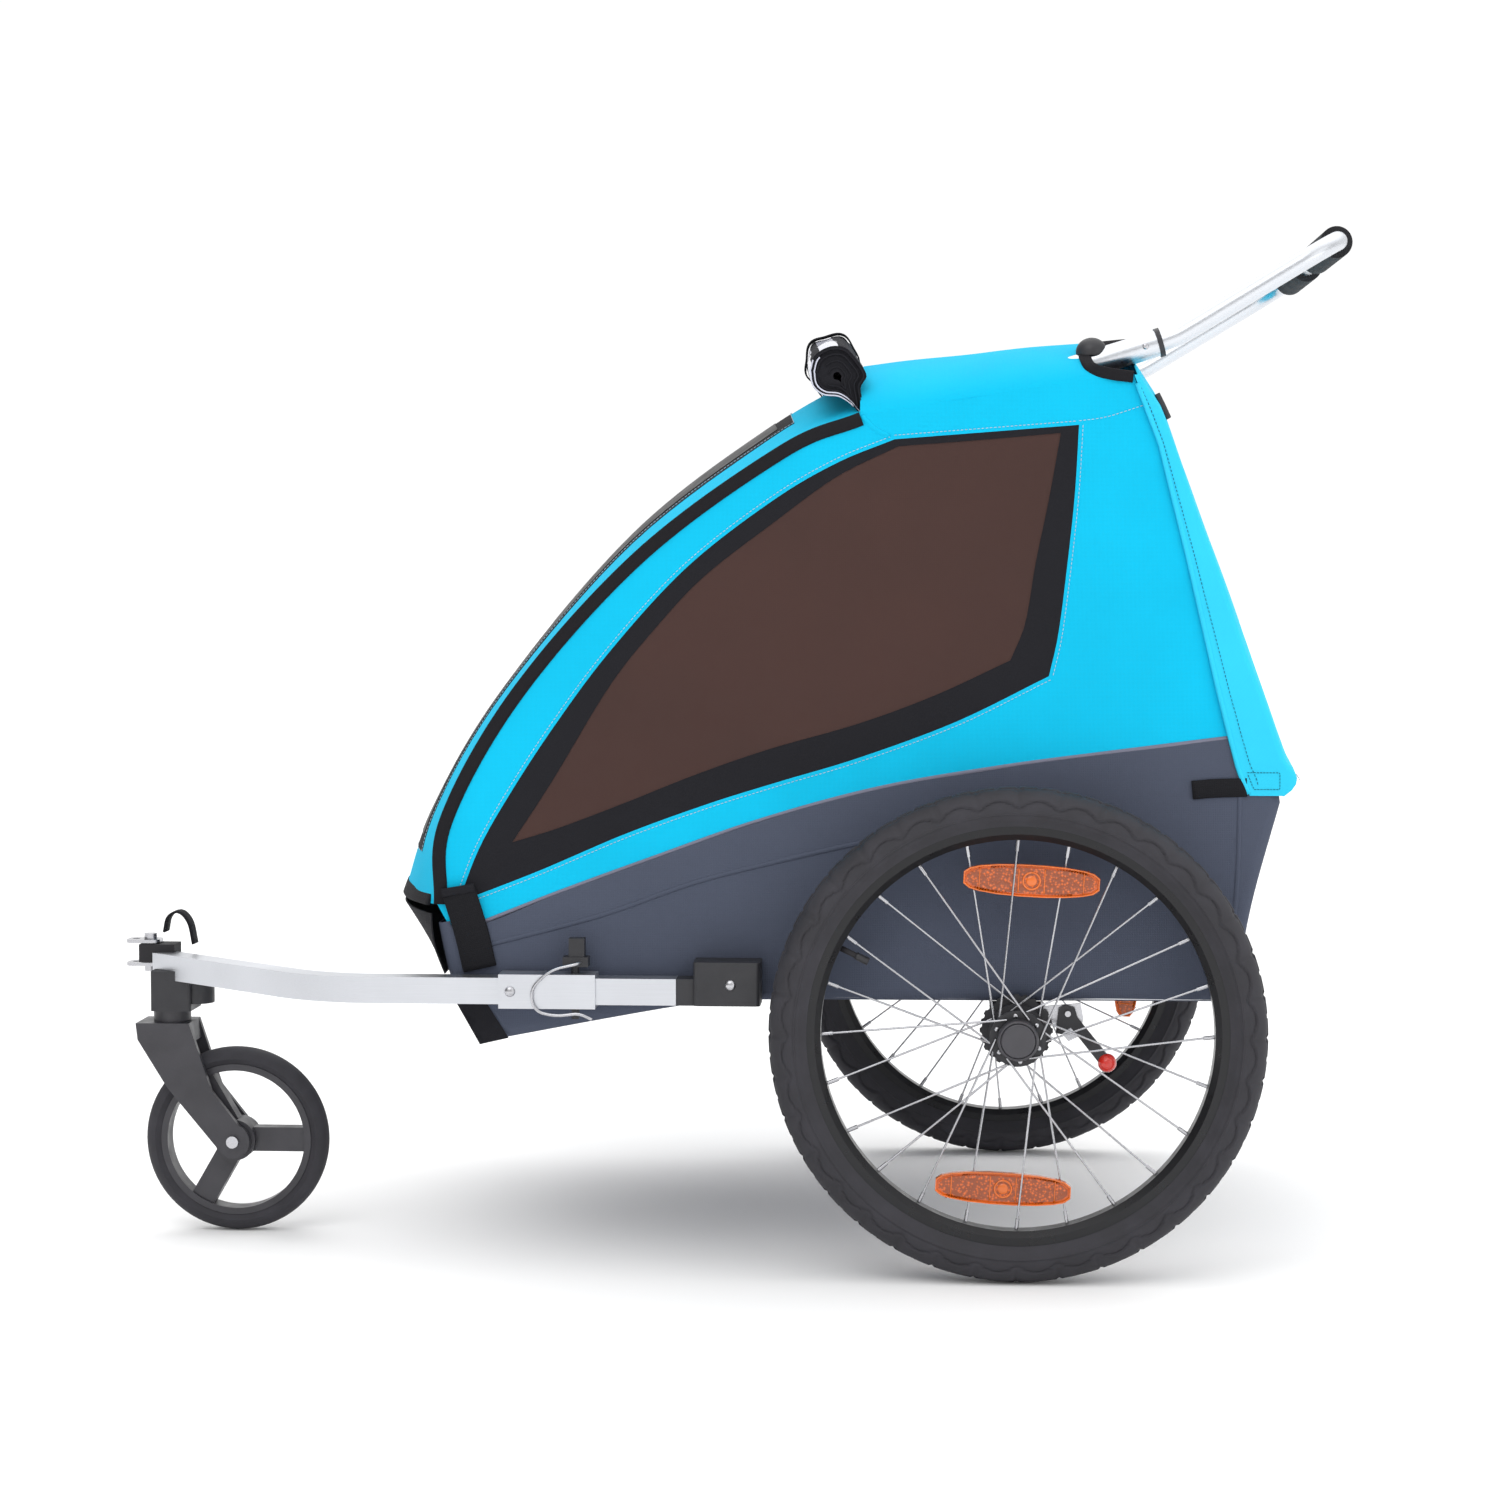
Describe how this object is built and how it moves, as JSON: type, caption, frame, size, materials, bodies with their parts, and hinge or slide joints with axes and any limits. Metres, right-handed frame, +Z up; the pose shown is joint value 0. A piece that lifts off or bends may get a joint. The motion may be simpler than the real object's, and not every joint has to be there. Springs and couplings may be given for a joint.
{
  "type": "child bicycle trailer",
  "caption": "Covered bicycle trailer for children with spoked wheels, a side tow arm, a swivel stroller wheel, a push handlebar and a folding frame.",
  "frame": {"origin": "on the ground, at the middle of the overall length and width", "axes": "+Z up; the trailer faces -X, so +X points to the handlebar and -Y is the trailer's left side, with the tow arm"},
  "size_m": [1.3075, 0.8, 1.0695],
  "materials": {
    "tyre_rubber": "matte moulded rubber",
    "rim_black": "satin black anodised",
    "aluminium": "brushed satin",
    "steel": "zinc plated",
    "black_plastic": "fine-grained moulded",
    "fork_grey": "fine-grained moulded",
    "red_plastic": "moulded",
    "reflector": "prismatic",
    "foam": "closed-cell foam",
    "fabric_blue": "woven, coated",
    "fabric_light_blue": "woven, coated",
    "fabric_grey": "heavy woven",
    "fabric_black": "woven binding",
    "window_film": "tinted flexible film"
  },
  "bodies": {
    "chassis": {"side_rails": "aluminium", "cross_tubes": "aluminium", "seat_front_bar": "aluminium", "rear_hinge_posts": "steel", "hinge_pins": "steel", "axle_receivers": "black_plastic", "axle_tube": "steel", "wheel_axles": "steel", "brake_plate": "steel", "tow_arm": "aluminium", "arm_sleeve": "aluminium", "arm_socket": "black_plastic", "hitch_rubber_block": "foam", "safety_strap": "fabric_black", "stroller_wheel_housing": "black_plastic", "lower_tub": "fabric_grey", "side_panels": "fabric_blue", "side_windows": "window_film", "nose_panel": "fabric_grey", "seat_pad": "fabric_grey", "crotch_buckles": "black_plastic", "corner_straps": "fabric_black"},
    "canopy_frame": {"canopy_side_tubes": "aluminium", "canopy_bows": "aluminium", "handle_sleeves": "aluminium", "sleeve_collars": "black_plastic", "latch_brackets": "black_plastic", "roof_panel": "fabric_blue"},
    "handlebar": {"handlebar": "aluminium", "handlebar_grips": "foam"},
    "seat_back_frame": {"back_side_tubes": "aluminium", "back_cross_bars": "aluminium", "seat_back_pad": "fabric_grey", "shoulder_straps": "fabric_black"},
    "front_cover": {"front_cover": "fabric_blue", "rolled_rain_cover": "fabric_black"},
    "rear_flap": {"rear_flap": "fabric_light_blue"},
    "left_wheel": {"left_tyre": "tyre_rubber", "left_rim": "rim_black", "left_hub": "black_plastic", "left_spokes": "steel", "left_reflectors": "reflector"},
    "left_button": {"left_release_button": "black_plastic"},
    "right_wheel": {"right_tyre": "tyre_rubber", "right_rim": "rim_black", "right_hub": "black_plastic", "right_spokes": "steel", "right_reflectors": "reflector"},
    "right_button": {"right_release_button": "black_plastic"},
    "stroller_swivel": {"stroller_fork": "fork_grey", "stroller_axle_bolt": "steel"},
    "stroller_wheel": {"stroller_tyre": "tyre_rubber", "stroller_rim": "black_plastic"},
    "brake_lever": {"brake_lever": "black_plastic", "brake_knob": "red_plastic"},
    "hitch_clevis": {"hitch_plates": "steel", "hitch_bolt": "steel"},
    "arm_pin": {"arm_pin": "black_plastic", "pin_bail": "steel"}
  },
  "joints": [
    {"name": "frame_fold", "type": "hinge", "parent": "chassis", "child": "canopy_frame", "pos_m": [-0.247, 0, 0.289], "axis": [0, 1, 0], "range_deg": [0, 33], "deforming": ["side_panels", "side_windows", "lower_tub", "nose_panel", "corner_straps"]},
    {"name": "seat_back_fold", "type": "hinge", "parent": "chassis", "child": "seat_back_frame", "pos_m": [0.46, 0, 0.38], "axis": [0, 1, 0], "range_deg": [-78, 0]},
    {"name": "handlebar_slide", "type": "slide", "parent": "canopy_frame", "child": "handlebar", "axis": [0.9563, 0, 0.2924], "range_m": [0, 0.045]},
    {"name": "front_cover_open", "type": "hinge", "parent": "canopy_frame", "child": "front_cover", "pos_m": [0.15, 0, 0.94], "axis": [0, 1, 0], "range_deg": [0, 95]},
    {"name": "rear_flap_open", "type": "hinge", "parent": "canopy_frame", "child": "rear_flap", "pos_m": [0.424, 0, 0.955], "axis": [0, -1, 0], "range_deg": [0, 30]},
    {"name": "stroller_swivel_turn", "type": "hinge", "parent": "chassis", "child": "stroller_swivel", "pos_m": [-0.6, -0.151, 0.24], "axis": [0, 0, 1], "continuous": true},
    {"name": "stroller_wheel_spin", "type": "hinge", "parent": "stroller_swivel", "child": "stroller_wheel", "pos_m": [-0.529, -0.151, 0.1], "axis": [0, 1, 0], "continuous": true},
    {"name": "brake_lever_turn", "type": "hinge", "parent": "chassis", "child": "brake_lever", "pos_m": [0.361, -0.319, 0.267], "axis": [0, 1, 0], "range_deg": [0, 25]},
    {"name": "hitch_yaw", "type": "hinge", "parent": "chassis", "child": "hitch_clevis", "pos_m": [-0.629, -0.128, 0.3], "axis": [0, 0, 1], "range_deg": [-25, 25]},
    {"name": "arm_pin_lift", "type": "slide", "parent": "chassis", "child": "arm_pin", "axis": [0, 0, 1], "range_m": [0, 0.05]},
    {"name": "left_wheel_spin", "type": "hinge", "parent": "chassis", "child": "left_wheel", "pos_m": [0.309, -0.355, 0.25], "axis": [0, 1, 0], "continuous": true},
    {"name": "left_button_press", "type": "slide", "parent": "left_wheel", "child": "left_button", "axis": [0, 1, 0], "range_m": [0, 0.0035], "stiffness_N_per_m": 600},
    {"name": "right_wheel_spin", "type": "hinge", "parent": "chassis", "child": "right_wheel", "pos_m": [0.309, 0.355, 0.25], "axis": [0, 1, 0], "continuous": true},
    {"name": "right_button_press", "type": "slide", "parent": "right_wheel", "child": "right_button", "axis": [0, -1, 0], "range_m": [0, 0.0035], "stiffness_N_per_m": 600}
  ],
  "couplings": [
    {"joint": "seat_back_fold", "follows": "frame_fold", "ratio": -2.35}
  ]
}
